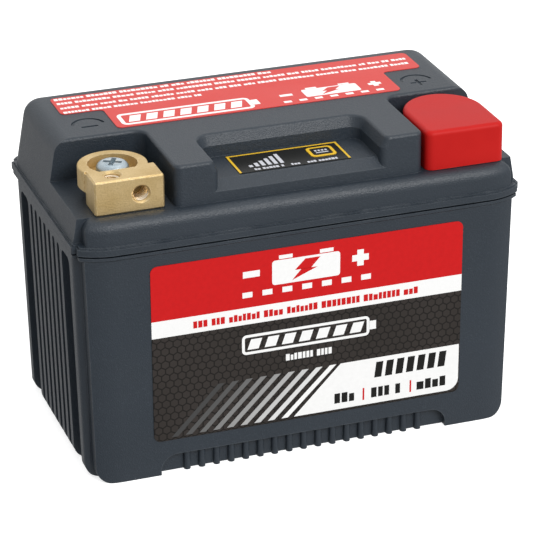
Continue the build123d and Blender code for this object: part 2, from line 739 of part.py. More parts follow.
def balance_resistors():
    return Compound([block((34.0, 40.0), (y - 1.6, y + 1.6), (BMS_TOP, BMS_TOP + 0.7))
                     for y in (-7.5, -2.5, 2.5, 7.5)])


def bms_shunt():
    """Copper strip that measures the current."""
    foot = block((-26.0, -18.0), (-3.0, 3.0), (BMS_TOP, BMS_TOP + 1.0))
    return foot + block((-18.0, -6.0), (-2.0, 2.0), (BMS_TOP, BMS_TOP + 1.0))


def display_cable():
    """Flat ribbon from the cell-pack board up to the display board."""
    y = -24.0
    return block((-4.0, 4.0), (y - 0.3, y + 0.3), (BMS_TOP, DISPLAY_BOARD_BASE))


FOAM_FACE = FACE_FOOT_Y - WALL


def foam_pad(x, y):
    return block(x, y, (FOOT_HEIGHT + WALL + 1, 68.0))


def seal():
    """Bead of sealant between the container's rim and the lid."""
    plan = full_plan(2.0, 2.0) - RectangleRounded(2 * 70.4, 2 * 40.4, 9.0)
    return prism(plan, (SEAM - SEAM_GAP, SEAM))


save(make_container(), "container")
save(make_lid(), "lid")
save(seal(), "lid_seal")

for prefix, place in (("positive", lambda shape: shape), ("negative", mirrored)):
    save(place(terminal_block()), f"{prefix}_terminal")
    save(place(terminal_screw()), f"{prefix}_screw")
    save(place(terminal_bush()), f"{prefix}_bush")
    save(place(terminal_lug()), f"{prefix}_lug")
    save(place(terminal_lead((0, 4.0, PACK_TOP))), f"{prefix}_lead")
save(terminal_cap(), "terminal_cap")

save(front_label(), "front_label")
save(top_label(), "top_label")
save(display_label(), "display_label")
save(test_button(), "test_button")
save(switch_plunger(), "switch_plunger")
save(test_switch(), "test_switch")
save(light_guide(), "light_guide")
save(charge_leds(), "charge_leds")
save(display_board(), "display_board")
save(display_screws(), "display_screws")
save(display_cable(), "display_cable")

number = 0
for cell_x in CELL_X:
    for cell_y in CELL_Y:
        number += 1
        save(cell(cell_x, cell_y), f"cell_{number}")
save(lower_holder(), "lower_cell_holder")
save(upper_holder(), "upper_cell_holder")
for name, limits in LOW_LINKS.items():
    save(link(limits, CELL_BASE - PLATE), name)
save(link(TOP_LINKS["top_link"], CELL_TOP), "top_link")
save(collector(TOP_LINKS["negative_collector"]), "negative_collector")
save(collector(TOP_LINKS["positive_collector"]), "positive_collector")
save(insulation_sheet(), "insulation_sheet")
save(board_spacers(), "board_spacers")
save(bms_board(), "bms_board")
save(bms_screws(), "bms_screws")
save(bms_transistors(), "bms_transistors")
save(bms_controller(), "bms_controller")
save(balance_resistors(), "balance_resistors")
save(bms_shunt(), "bms_shunt")
save(block((-62, 62), (-34, 34), (FLOOR, CELL_BASE - PLATE)), "base_pad")
save(foam_pad((-56, 56), (-FOAM_FACE, -HOLDER_HALF[1])), "front_foam")
save(foam_pad((-56, 56), (HOLDER_HALF[1], FOAM_FACE)), "rear_foam")
save(foam_pad((-67.0, -HOLDER_HALF[0]), (-30, 30)), "left_foam")
save(foam_pad((HOLDER_HALF[0], 67.0), (-30, 30)), "right_foam")
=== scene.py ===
"""Motorcycle battery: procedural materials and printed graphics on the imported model."""
import math
import random

import bpy
import bmesh
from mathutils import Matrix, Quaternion, Vector


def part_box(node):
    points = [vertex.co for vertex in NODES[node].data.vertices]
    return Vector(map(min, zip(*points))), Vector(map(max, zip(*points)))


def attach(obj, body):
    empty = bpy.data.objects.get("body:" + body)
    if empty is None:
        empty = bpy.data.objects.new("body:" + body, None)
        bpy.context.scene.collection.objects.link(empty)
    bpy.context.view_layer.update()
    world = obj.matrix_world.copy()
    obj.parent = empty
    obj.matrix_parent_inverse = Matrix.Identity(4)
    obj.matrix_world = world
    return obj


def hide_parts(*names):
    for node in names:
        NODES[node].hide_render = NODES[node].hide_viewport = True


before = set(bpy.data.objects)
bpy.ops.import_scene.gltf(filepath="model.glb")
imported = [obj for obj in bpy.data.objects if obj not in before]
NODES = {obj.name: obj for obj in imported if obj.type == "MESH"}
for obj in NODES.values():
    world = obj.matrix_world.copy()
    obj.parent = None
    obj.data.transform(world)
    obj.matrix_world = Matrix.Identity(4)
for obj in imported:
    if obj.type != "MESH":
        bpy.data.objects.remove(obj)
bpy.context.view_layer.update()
MM = 0.001
chance = random.Random(7)


# ---- camera, floor and light ---------------------------------------------------------------

CAMERA_PLACE = Vector((-0.2655, -0.7815, 0.4244))
CAMERA_TARGET = Vector((0.002448, 0.0, 0.046827))
CAMERA_LENS = 181.65
CAMERA_ROLL = -0.0111      # radians about the line of sight
SENSOR = 36.0
CLIP_END = 20.0

# Each light: place, size and power. All of them look at the middle of the battery.
MIDDLE = (0.0, 0.0, 0.06)
TOP_LIGHT = ((0.1, 0.25, 1.1), (0.9, 0.7), 1.0)
FRONT_LIGHT = ((0.3, -1.15, 0.95), (0.8, 0.5), 12.5)
FLOOR_REACH = 6.0
FLOOR_GLOW = 0.7


def add_camera():
    """Long lens, from the front and a little to the left and above."""
    data = bpy.data.cameras.new("camera")
    data.lens = CAMERA_LENS
    data.sensor_width = SENSOR
    data.clip_end = CLIP_END
    camera = bpy.data.objects.new("camera", data)
    bpy.context.scene.collection.objects.link(camera)
    camera.location = CAMERA_PLACE
    aim = (CAMERA_TARGET - CAMERA_PLACE).to_track_quat("-Z", "Y")
    camera.rotation_mode = "QUATERNION"
    camera.rotation_quaternion = aim @ Quaternion((0.0, 0.0, 1.0), CAMERA_ROLL)
    bpy.context.scene.camera = camera


def add_area_light(name, place, size, power):
    """Rectangular lamp that looks at the middle of the battery."""
    data = bpy.data.lights.new(name, "AREA")
    data.shape = "RECTANGLE"
    data.size, data.size_y = size
    data.energy = power
    light = bpy.data.objects.new(name, data)
    bpy.context.scene.collection.objects.link(light)
    light.location = place
    light.rotation_mode = "QUATERNION"
    light.rotation_quaternion = (Vector(MIDDLE) - Vector(place)).to_track_quat("-Z", "Y")


def add_world():
    """Soft tent of light: brightest overhead and behind, darker below and towards -X."""
    world = bpy.data.worlds.new("studio")
    world.use_nodes = True
    tree = world.node_tree
    way = tree.nodes.new("ShaderNodeTexCoord").outputs["Generated"]
    split = tree.nodes.new("ShaderNodeSeparateXYZ")
    tree.links.new(way, split.inputs[0])
    # Each slope: the direction's value from and to, and the strength it goes from and to.
    slopes = (("Z", (-0.5, 0.7, 0.56, 0.92)), ("X", (-0.8, 0.3, 0.70, 1.0)),
              ("Y", (0.1, 0.9, 1.0, 1.25)))
    strength = None
    for axis, limits in slopes:
        ramp = tree.nodes.new("ShaderNodeMapRange")
        tree.links.new(split.outputs[axis], ramp.inputs["Value"])
        for name, number in zip(("From Min", "From Max", "To Min", "To Max"), limits):
            ramp.inputs[name].default_value = number
        if strength is None:
            strength = ramp.outputs[0]
            continue
        product = tree.nodes.new("ShaderNodeMath")
        product.operation = "MULTIPLY"
        tree.links.new(strength, product.inputs[0])
        tree.links.new(ramp.outputs[0], product.inputs[1])
        strength = product.outputs[0]
    background = tree.nodes["Background"]
    background.inputs["Color"].default_value = (1.0, 1.0, 1.0, 1.0)
    tree.links.new(strength, background.inputs["Strength"])
    bpy.context.scene.world = world


def add_floor():
    """Pale floor. It catches shadows and leaves lighting the battery to the world and lights."""
    mesh = bpy.data.meshes.new("floor")
    reach = FLOOR_REACH
    corners = [(-reach, -reach, 0), (reach, -reach, 0), (reach, reach, 0), (-reach, reach, 0)]
    mesh.from_pydata([Vector(c) for c in corners], [], [(0, 1, 2, 3)])
    floor = bpy.data.objects.new("floor", mesh)
    bpy.context.scene.collection.objects.link(floor)
    paper = bpy.data.materials.new("paper_floor")
    paper.use_nodes = True
    shader = paper.node_tree.nodes["Principled BSDF"]
    shader.inputs["Base Color"].default_value = (0.75, 0.75, 0.75, 1.0)
    shader.inputs["Roughness"].default_value = 0.9
    shader.inputs["Specular IOR Level"].default_value = 0.0
    shader.inputs["Emission Color"].default_value = (1.0, 1.0, 1.0, 1.0)
    shader.inputs["Emission Strength"].default_value = FLOOR_GLOW
    mesh.materials.append(paper)
    floor.visible_glossy = False
    floor.visible_diffuse = False


def add_studio():
    settings = bpy.context.scene.view_settings
    settings.view_transform = "Standard"
    settings.look = "None"
    add_world()
    add_area_light("top_light", *TOP_LIGHT)
    add_area_light("front_light", *FRONT_LIGHT)
    add_floor()


# ---- node helpers --------------------------------------------------------------------------

class Nodes:
    """Short calls for building one material's node tree. Colours are linear."""

    def __init__(self, name):
        self.material = bpy.data.materials.new(name)
        self.material.use_nodes = True
        self.tree = self.material.node_tree
        self.shader = self.tree.nodes["Principled BSDF"]
        self.point = self.add("ShaderNodeTexCoord").outputs["Object"]

    def add(self, kind, **settings):
        """New node with its settings."""
        node = self.tree.nodes.new(kind)
        for key, value in settings.items():
            setattr(node, key, value)
        return node

    def link(self, source, socket):
        """Join one socket to another, or set it to a constant."""
        if hasattr(source, "is_output"):
            self.tree.links.new(source, socket)
        elif isinstance(source, tuple) and len(source) == 3 and socket.type == "RGBA":
            socket.default_value = (*source, 1.0)
        else:
            socket.default_value = source

    def math(self, operation, *values):
        node = self.add("ShaderNodeMath", operation=operation)
        for socket, value in zip(node.inputs, values):
            self.link(value, socket)
        return node.outputs[0]

    def ramp(self, value, low, high, out_low=0.0, out_high=1.0):
        """Linear map of value from low..high, held at the ends."""
        node = self.add("ShaderNodeMapRange", clamp=True)
        for socket, number in zip(node.inputs, (value, low, high, out_low, out_high)):
            self.link(number, socket)
        return node.outputs[0]

    def noise(self, scale, detail=3.0, roughness=0.5, point=None):
        """Soft noise; the scale is in waves per metre."""
        node = self.add("ShaderNodeTexNoise")
        self.link(point or self.point, node.inputs["Vector"])
        node.inputs["Scale"].default_value = scale
        node.inputs["Detail"].default_value = detail
        node.inputs["Roughness"].default_value = roughness
        return node.outputs["Fac"]

    def cells(self, scale, feature="F1"):
        """Distance from the nearest cell's point or edge; the scale is in cells per metre."""
        node = self.add("ShaderNodeTexVoronoi", feature=feature)
        self.link(self.point, node.inputs["Vector"])
        node.inputs["Scale"].default_value = scale
        return node.outputs["Distance"]

    def stretched(self, scale):
        """Coordinates scaled along each axis, for drawn-out marks."""
        node = self.add("ShaderNodeMapping")
        self.link(self.point, node.inputs["Vector"])
        node.inputs["Scale"].default_value = scale
        return node.outputs["Vector"]

    def mix(self, factor, first, second):
        """Colour that goes from the first to the second as the factor goes from 0 to 1."""
        node = self.add("ShaderNodeMix", data_type="RGBA")
        self.link(factor, node.inputs["Factor"])
        self.link(first, node.inputs["A"])
        self.link(second, node.inputs["B"])
        return node.outputs["Result"]

    def axes(self):
        """The point's X, Y and Z."""
        node = self.add("ShaderNodeSeparateXYZ")
        self.link(self.point, node.inputs[0])
        return node.outputs

    def honeycomb(self, across, up, pitch):
        """Distance from the nearest hexagon's edge, as a fraction of the pitch."""
        tall = pitch * math.sqrt(3.0)
        slant = math.sqrt(3.0) / 2
        reach = []
        for shift in (0.0, 0.5):
            u = self.math("ADD", across, pitch * shift)
            u = self.math("SUBTRACT", self.math("FLOORED_MODULO", u, pitch), pitch / 2)
            v = self.math("ADD", up, tall * shift)
            v = self.math("SUBTRACT", self.math("FLOORED_MODULO", v, tall), tall / 2)
            u = self.math("ABSOLUTE", u)
            v = self.math("ABSOLUTE", v)
            lean = self.math("ADD", self.math("MULTIPLY", u, 0.5),
                             self.math("MULTIPLY", v, slant))
            reach.append(self.math("MAXIMUM", u, lean))
        near = self.math("MINIMUM", reach[0], reach[1])
        return self.math("SUBTRACT", 0.5, self.math("DIVIDE", near, pitch))

    def sharp_edges(self, radius):
        """1 on sharp outer edges, 0 on flats: how far a bevelled normal leans from the true one."""
        bevel = self.add("ShaderNodeBevel", samples=6)
        bevel.inputs["Radius"].default_value = radius
        true = self.add("ShaderNodeNewGeometry").outputs["Normal"]
        dot = self.add("ShaderNodeVectorMath", operation="DOT_PRODUCT")
        self.link(bevel.outputs[0], dot.inputs[0])
        self.link(true, dot.inputs[1])
        return self.ramp(dot.outputs["Value"], 0.995, 0.9)

    def bump(self, height, strength, distance):
        """Normal of a surface raised by the height; the distance is in metres."""
        node = self.add("ShaderNodeBump")
        node.inputs["Strength"].default_value = strength
        node.inputs["Distance"].default_value = distance
        self.link(height, node.inputs["Height"])
        return node.outputs["Normal"]

    def finish(self, color, roughness, normal, **constants):
        """Fill in the shader. A constant goes on the socket of its name, with _ for a space."""
        self.link(color, self.shader.inputs["Base Color"])
        self.link(roughness, self.shader.inputs["Roughness"])
        self.link(normal, self.shader.inputs["Normal"])
        for key, value in constants.items():
            socket = self.shader.inputs[key.replace("_", " ")]
            socket.default_value = (*value, 1.0) if isinstance(value, tuple) else value
        return self.material


def dress(material, *names):
    """Give the named nodes this one material."""
    for name in names:
        mesh = NODES[name].data
        mesh.materials.clear()
        mesh.materials.append(material)


# ---- materials -----------------------------------------------------------------------------

def case_plastic():
    """Dark blue-grey moulded plastic: spark-eroded grain, faint flow marks, paler edges that are
    partly rubbed wear and partly a painted highlight.
    """
    n = Nodes("case_plastic")
    grain = n.noise(2000.0, detail=2.0, roughness=0.65)
    pits = n.cells(2200.0)
    cloud = n.noise(22.0, detail=4.0)
    flow = n.noise(6.0, detail=2.0, point=n.stretched((1.0, 1.0, 4.0)))
    # Patchy mask of sharp edges, partly rubbed wear and partly a painted highlight where edges
    # catch the light; it lightens the base below.
    wear_and_highlight = n.math("MULTIPLY", n.sharp_edges(0.0005), n.ramp(n.noise(180.0), 0.3, 0.65))
    base = n.mix(n.ramp(cloud, 0.3, 0.7), (0.013, 0.022, 0.033), (0.018, 0.028, 0.041))
    base = n.mix(n.ramp(flow, 0.35, 0.65, 0.0, 0.5), base, (0.018, 0.025, 0.034))
    base = n.mix(n.ramp(grain, 0.54, 0.76, 0.0, 0.5), base, (0.045, 0.060, 0.078))
    base = n.mix(n.math("MULTIPLY", wear_and_highlight, 0.28), base, (0.20, 0.22, 0.24))
    rough = n.ramp(grain, 0.3, 0.7, 0.38, 0.54)
    rough = n.math("ADD", rough, n.ramp(cloud, 0.3, 0.7, -0.03, 0.03))
    height = n.math("ADD", grain, n.math("MULTIPLY", pits, 0.6))
    normal = n.bump(height, 0.7, 0.00015)
    return n.finish(base, rough, normal, Specular_IOR_Level=0.58)


def brass():
    """Sand-cast brass with a satin skin: fine grain, faint tool marks, bright nicked edges."""
    n = Nodes("brass")
    grain = n.noise(1900.0, detail=3.0, roughness=0.7)
    cloud = n.noise(110.0, detail=4.0)
    marks = n.noise(400.0, detail=2.0, point=n.stretched((1.0, 6.0, 6.0)))
    wear_and_highlight = n.math("MULTIPLY", n.sharp_edges(0.0005), n.ramp(n.noise(700.0), 0.42, 0.62))
    base = n.mix(n.ramp(cloud, 0.3, 0.7), (0.60, 0.43, 0.19), (0.75, 0.57, 0.30))
    base = n.mix(n.ramp(grain, 0.48, 0.8, 0.0, 0.55), base, (0.42, 0.29, 0.12))
    base = n.mix(wear_and_highlight, base, (0.95, 0.80, 0.52))
    rough = n.math("ADD", n.ramp(grain, 0.3, 0.7, 0.40, 0.56), n.ramp(wear_and_highlight, 0.0, 1.0, 0.0, -0.15))
    height = n.math("ADD", grain, n.math("MULTIPLY", marks, 0.5))
    return n.finish(base, rough, n.bump(height, 0.6, 0.00016), Metallic=0.82)


def thread_brass():
    """Freshly cut brass inside the tapped holes: bright, with fine turning lines."""
    n = Nodes("thread_brass")
    lines = n.noise(5000.0, detail=1.0)
    cloud = n.noise(300.0)
    base = n.mix(n.ramp(cloud, 0.3, 0.7), (0.90, 0.72, 0.50), (0.98, 0.87, 0.70))
    rough = n.ramp(lines, 0.3, 0.7, 0.16, 0.30)
    return n.finish(base, rough, n.bump(lines, 0.2, 0.00004), Metallic=1.0)


def zinc():
    """Bright zinc plate with a blue passivate, faint yellowish tinges and a fine grain."""
    n = Nodes("zinc_steel")
    fine = n.noise(2200.0, detail=2.0)
    cloud = n.noise(260.0, detail=3.0)
    wear_and_highlight = n.math("MULTIPLY", n.sharp_edges(0.0003), n.ramp(n.noise(900.0), 0.4, 0.65))
    base = n.mix(n.ramp(cloud, 0.3, 0.7), (0.36, 0.44, 0.49), (0.58, 0.64, 0.67))
    base = n.mix(n.ramp(cloud, 0.62, 0.75, 0.0, 0.5), base, (0.60, 0.58, 0.48))
    base = n.mix(wear_and_highlight, base, (0.80, 0.82, 0.84))
    rough = n.ramp(fine, 0.3, 0.7, 0.20, 0.40)
    return n.finish(base, rough, n.bump(fine, 0.6, 0.00012), Metallic=0.8)


def cap_red():
    """Soft red vinyl: silky skin, faint mottling, paler rubbed edges."""
    n = Nodes("cap_red")
    fine = n.noise(2400.0, detail=2.0)
    cloud = n.noise(60.0, detail=3.0)
    wear_and_highlight = n.math("MULTIPLY", n.sharp_edges(0.0006), n.ramp(n.noise(220.0), 0.35, 0.7))
    base = n.mix(n.ramp(cloud, 0.3, 0.7), (0.47, 0.008, 0.007), (0.53, 0.012, 0.010))
    base = n.mix(n.math("MULTIPLY", wear_and_highlight, 0.3), base, (0.75, 0.10, 0.08))
    rough = n.math("ADD", n.ramp(fine, 0.3, 0.7, 0.40, 0.50),
                   n.ramp(cloud, 0.3, 0.7, -0.04, 0.04))
    return n.finish(base, rough, n.bump(fine, 0.3, 0.00008), Specular_IOR_Level=0.15)


PRINT_SHINE = 0.2


def printed(name, color, rough=0.34):
    """Printing ink: even colour with a slight mottle and a soft gloss that varies."""
    n = Nodes(name)
    mottle = n.noise(800.0, detail=2.0)
    shade = tuple(0.965 * part for part in color)
    base = n.mix(n.ramp(mottle, 0.3, 0.7), shade, color)
    gloss = n.math("ADD", n.ramp(n.noise(45.0), 0.3, 0.7, -0.05, 0.05), rough)
    normal = n.bump(mottle, 0.05, 0.00005)
    return n.finish(base, gloss, normal, Specular_IOR_Level=PRINT_SHINE)


RED = (0.62, 0.009, 0.010)
WHITE = (0.95, 0.95, 0.94)
INK_BLACK = (0.011, 0.011, 0.010)
YELLOW = (0.80, 0.50, 0.03)
PALE = (0.62, 0.63, 0.68)
TOP_RED = (0.66, 0.055, 0.047)

# Front label's film, in millimetres
BAND_LOW = 55.4        # lower edge of the red band
STRIP_LOW = 49.5       # lower edge of the white strip
HEXAGON = 2.7          # pitch of the honeycomb


def front_film():
    """Film of the front label: red band, white strip, dark honeycomb field."""
    n = Nodes("front_label_film")
    x, _, z = n.axes()
    mottle = n.noise(700.0, detail=2.0)
    away = n.honeycomb(x, z, HEXAGON * MM)
    web = n.ramp(away, 0.05, 0.10, 1.0, 0.0)
    patchy = n.ramp(n.noise(40.0), 0.3, 0.7)
    field = n.mix(patchy, (0.030, 0.025, 0.022), (0.037, 0.031, 0.028))
    field = n.mix(n.math("MULTIPLY", web, 0.9), field, (0.008, 0.007, 0.006))
    strip = n.mix(n.ramp(mottle, 0.3, 0.7), WHITE, (0.93, 0.93, 0.92))
    band = n.mix(n.ramp(mottle, 0.3, 0.7), RED, (0.58, 0.008, 0.009))
    base = n.mix(n.math("GREATER_THAN", z, STRIP_LOW * MM), field, strip)
    base = n.mix(n.math("GREATER_THAN", z, BAND_LOW * MM), base, band)
    rough = n.math("ADD", n.ramp(n.noise(30.0, detail=4.0), 0.3, 0.7, 0.30, 0.38),
                   n.math("MULTIPLY", web, 0.12))
    normal = n.bump(mottle, 0.05, 0.00005)
    return n.finish(base, rough, normal, Specular_IOR_Level=PRINT_SHINE)


def plain(name, dark, light, scale, rough, depth=0.2, **constants):
    """Moulded, drawn or coated stock: mottled colour, grain and a finish that varies."""
    n = Nodes(name)
    grain = n.noise(scale, detail=3.0)
    cloud = n.noise(scale / 12.0, detail=3.0)
    base = n.mix(n.ramp(cloud, 0.3, 0.7), dark, light)
    base = n.mix(n.math("MULTIPLY", n.sharp_edges(0.0003), 0.35), base, light)
    finish = n.math("ADD", n.ramp(grain, 0.3, 0.7, rough - 0.07, rough + 0.07),
                    n.ramp(cloud, 0.3, 0.7, -0.03, 0.03))
    return n.finish(base, finish, n.bump(grain, depth, 0.0001), **constants)


def circuit_board():
    """Green solder mask over a faint weave, with a copper-lit trace pattern."""
    n = Nodes("circuit_board")
    traces = n.ramp(n.cells(260.0, feature="DISTANCE_TO_EDGE"), 0.02, 0.06, 1.0, 0.0)
    weave = n.noise(1800.0, point=n.stretched((1.0, 3.0, 1.0)))
    base = n.mix(n.ramp(n.noise(30.0), 0.3, 0.7), (0.008, 0.085, 0.035), (0.012, 0.12, 0.05))
    base = n.mix(n.math("MULTIPLY", traces, 0.6), base, (0.05, 0.22, 0.07))
    height = n.math("ADD", traces, n.math("MULTIPLY", weave, 0.3))
    return n.finish(base, n.ramp(weave, 0.3, 0.7, 0.28, 0.42), n.bump(height, 0.3, 0.00005))


def foam():
    """Closed-cell foam: burst bubbles in a matt grey."""
    n = Nodes("foam")
    bubbles = n.cells(1500.0)
    cloud = n.noise(50.0)
    base = n.mix(n.ramp(bubbles, 0.1, 0.5), (0.012, 0.012, 0.013), (0.06, 0.06, 0.064))
    base = n.mix(n.ramp(cloud, 0.3, 0.7, 0.0, 0.3), base, (0.09, 0.09, 0.095))
    return n.finish(base, n.ramp(bubbles, 0.0, 0.6, 0.95, 0.8), n.bump(bubbles, 0.8, 0.0003))


def clear_plastic():
    """Clear moulding with faint flow streaks."""
    n = Nodes("clear_plastic")
    streak = n.noise(300.0, point=n.stretched((1.0, 1.0, 5.0)))
    base = n.mix(n.ramp(streak, 0.3, 0.7), (0.86, 0.88, 0.90), (0.94, 0.95, 0.96))
    normal = n.bump(streak, 0.08, 0.0001)
    return n.finish(base, n.ramp(streak, 0.3, 0.7, 0.08, 0.2), normal, Transmission_Weight=0.85)


def dress_nodes():
    """One material for each kind of stock."""
    dress(case_plastic(), "container", "lid")
    sealant = plain("sealant", (0.004, 0.004, 0.005), (0.010, 0.011, 0.012), 700.0, 0.75, 0.4)
    dress(sealant, "lid_seal")
    dress(brass(), "positive_terminal", "negative_terminal", "positive_bush", "negative_bush")
    dress(zinc(), "positive_screw", "negative_screw", "display_screws", "bms_screws")
    copper = plain("copper", (0.55, 0.22, 0.11), (0.72, 0.34, 0.19), 1200.0, 0.35, Metallic=1.0)
    dress(copper, "positive_lug", "negative_lug", "bms_shunt")
    lead_red = plain("lead_red", (0.38, 0.010, 0.010), (0.50, 0.018, 0.015), 900.0, 0.48)
    dress(lead_red, "positive_lead")
    lead_black = plain("lead_black", (0.012, 0.012, 0.013), (0.022, 0.022, 0.024), 900.0, 0.5)
    dress(lead_black, "negative_lead")
    dress(cap_red(), "terminal_cap")
    dress(front_film(), "front_label")
    dress(printed("display_film", INK_BLACK, 0.30), "display_label")
    dress(printed("key_yellow", YELLOW, 0.36), "test_button")
    plunger = plain("plunger_plastic", (0.02, 0.02, 0.02), (0.04, 0.04, 0.04), 1500.0, 0.45)
    dress(plunger, "switch_plunger")
    epoxy = plain("component_black", (0.010, 0.010, 0.011), (0.022, 0.022, 0.023), 2500.0, 0.5)
    dress(epoxy, "test_switch", "bms_transistors", "bms_controller", "balance_resistors")
    dress(clear_plastic(), "light_guide")
    resin = plain("led_white", (0.70, 0.66, 0.50), (0.86, 0.84, 0.72), 2500.0, 0.3, 0.1)
    dress(resin, "charge_leds")
    dress(circuit_board(), "display_board", "bms_board")
    ribbon = plain("ribbon", (0.36, 0.36, 0.37), (0.48, 0.48, 0.49), 1400.0, 0.5)
    dress(ribbon, "display_cable")
    sleeve = plain("cell_sleeve", (0.010, 0.055, 0.19), (0.018, 0.085, 0.27), 600.0, 0.28, 0.08)
    dress(sleeve, *[f"cell_{number}" for number in range(1, 9)])
    holder = plain("holder_plastic", (0.014, 0.014, 0.016), (0.030, 0.030, 0.032), 1800.0, 0.55)
    dress(holder, "lower_cell_holder", "upper_cell_holder", "board_spacers")
    nickel = plain("nickel", (0.52, 0.49, 0.42), (0.66, 0.63, 0.56), 1100.0, 0.3, Metallic=1.0)
    dress(nickel, "bottom_link_left", "bottom_link_right", "top_link", "negative_collector",
          "positive_collector")
    paper = plain("insulation", (0.33, 0.26, 0.13), (0.44, 0.36, 0.20), 800.0, 0.7, 0.3)
    dress(paper, "insulation_sheet")
    dress(foam(), "base_pad", "front_foam", "rear_foam", "left_foam", "right_foam")


# ---- printed shapes, in millimetres on a plane ----------------------------------------------

class Plane:
    """A printed surface: a corner of the frame and the directions across and up."""

    def __init__(self, origin, across, up):
        self.origin = Vector(origin)
        self.across = Vector(across).normalized()
        self.up = Vector(up).normalized()
        self.out = self.across.cross(self.up)

    def at(self, point, lift):
        """The point's place in the scene, raised above the surface by the lift."""
        flat = self.across * point[0] + self.up * point[1]
        return (self.origin + flat + self.out * lift) * MM


INK_SUNK = 0.02        # how far a plate of print reaches below the surface it stands on
INK = 0.03             # height of print
INK_OVER = 0.045       # height of print that lies on other print
CORNER_STEPS = 5       # straight pieces in the arc of a printed corner


def add_piece(name, mesh, material, body):
    """Put a drawn mesh in the scene, on the body that carries it."""
    mesh.materials.append(material)
    piece = bpy.data.objects.new(name, mesh)
    bpy.context.scene.collection.objects.link(piece)
    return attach(piece, body)


def print_on(name, plane, polygons, material, lift=INK, body="case", sunk=INK_SUNK):
    """One colour of print: closed plates standing a hair above the surface."""
    mesh = bpy.data.meshes.new(name)
    bm = bmesh.new()
    for polygon in polygons:
        low = [bm.verts.new(plane.at(point, -sunk)) for point in polygon]
        high = [bm.verts.new(plane.at(point, lift)) for point in polygon]
        bm.faces.new(high)
        bm.faces.new(list(reversed(low)))
        for index in range(len(polygon)):
            after = (index + 1) % len(polygon)
            bm.faces.new((low[index], low[after], high[after], high[index]))
    bmesh.ops.recalc_face_normals(bm, faces=bm.faces)
    bm.to_mesh(mesh)
    bm.free()
    return add_piece(name, mesh, material, body)


def bar(x, y, shear=0.0):
    """Rectangle by its limits, sheared to the right with height."""
    lean = shear * (y[1] - y[0])
    return [(x[0], y[0]), (x[1], y[0]), (x[1] + lean, y[1]), (x[0] + lean, y[1])]


def rounded(x, y, radius):
    """Rounded rectangle; the radius may be one number, or one for each corner from low left."""
    radii = radius if isinstance(radius, tuple) else (radius,) * 4
    centres = [(x[0] + radii[0], y[0] + radii[0]), (x[1] - radii[1], y[0] + radii[1]),
               (x[1] - radii[2], y[1] - radii[2]), (x[0] + radii[3], y[1] - radii[3])]
    points = []
    for corner, (cx, cy) in enumerate(centres):
        for step in range(CORNER_STEPS + 1):
            angle = math.radians(180 + 90 * (corner + step / CORNER_STEPS))
            reach = radii[corner]
            points.append((cx + reach * math.cos(angle), cy + reach * math.sin(angle)))
    return points


def border(x, y, width, radius):
    """Frame of that width, as the quads between an outer and an inner rounded outline."""
    outer = rounded(x, y, radius)
    inner_x = (x[0] + width, x[1] - width)
    inner_y = (y[0] + width, y[1] - width)
    inner = rounded(inner_x, inner_y, max(radius - width, 0.05))
    quads = []
    for index in range(len(outer)):
        after = (index + 1) % len(outer)
        quads.append([outer[index], outer[after], inner[after], inner[index]])
    return quads


def lines_of_marks(x, y, fill=0.7):
    """Greeked text: words of small blocks along a line, with no letters in it."""
    height = y[1] - y[0]
    marks = []
    at = x[0]
    while at < x[1] - 0.5 * height:
        for _ in range(chance.randint(2, 9)):
            width = height * fill * chance.uniform(0.75, 1.15)
            if at + width > x[1]:
                break
            top = y[1] if chance.random() < 0.6 else y[0] + 0.8 * height
            marks.append(bar((at, at + width), (y[0], top)))
            at += width + 0.15 * height
        at += 0.45 * height
    return marks


def spaced_dashes(x, y, count, fill=0.5):
    """Evenly spaced dashes; the fill is the part of the pitch that a dash takes."""
    pitch = (x[1] - x[0]) / (count - 1 + fill)
    return [bar((x[0] + i * pitch, x[0] + (i + fill) * pitch), y) for i in range(count)]


def gauge(x, y, count, stroke):
    """Battery outline lying down, with slanted charge bars in it."""
    nub = 0.05 * (x[1] - x[0])
    body = (x[0], x[1] - nub)
    height = y[1] - y[0]
    shapes = border(body, y, stroke, 1.6 * stroke)
    shapes.append(bar((body[1] - 0.1, x[1]), (y[0] + 0.28 * height, y[1] - 0.28 * height)))
    inner = (body[0] + 1.9 * stroke, body[1] - 1.9 * stroke)
    low, high = y[0] + 1.8 * stroke, y[1] - 1.8 * stroke
    shear = 0.35
    room = inner[1] - inner[0] - shear * (high - low)
    pitch = room / (count - 0.35)
    for index in range(count):
        at = inner[0] + index * pitch
        shapes.append(bar((at, at + 0.65 * pitch), (low, high), shear))
    return shapes


def battery_icon(x, y):
    """Solid battery between a minus and a plus sign."""
    middle = (x[0] + x[1]) / 2
    width = x[1] - x[0]
    height = y[1] - y[0]
    centre = (y[0] + y[1]) / 2
    half = 0.27 * width
    body_top = y[1] - 0.16 * height
    shapes = [rounded((middle - half, middle + half), (y[0], body_top), 0.1 * height)]
    for side in (-1, 1):
        post = middle + side * 0.6 * half
        shapes.append(bar((post - 0.2 * half, post + 0.2 * half), (body_top + 0.03 * height, y[1])))
    arm = 0.28 * height
    thick = 0.11 * height
    left = x[0] + arm
    right = x[1] - arm
    shapes.append(bar((left - arm, left + arm), (centre - thick, centre + thick)))
    shapes.append(bar((right - arm, right + arm), (centre - thick, centre + thick)))
    shapes.append(bar((right - thick, right + thick), (centre + thick, centre + arm)))
    shapes.append(bar((right - thick, right + thick), (centre - arm, centre - thick)))
    return shapes


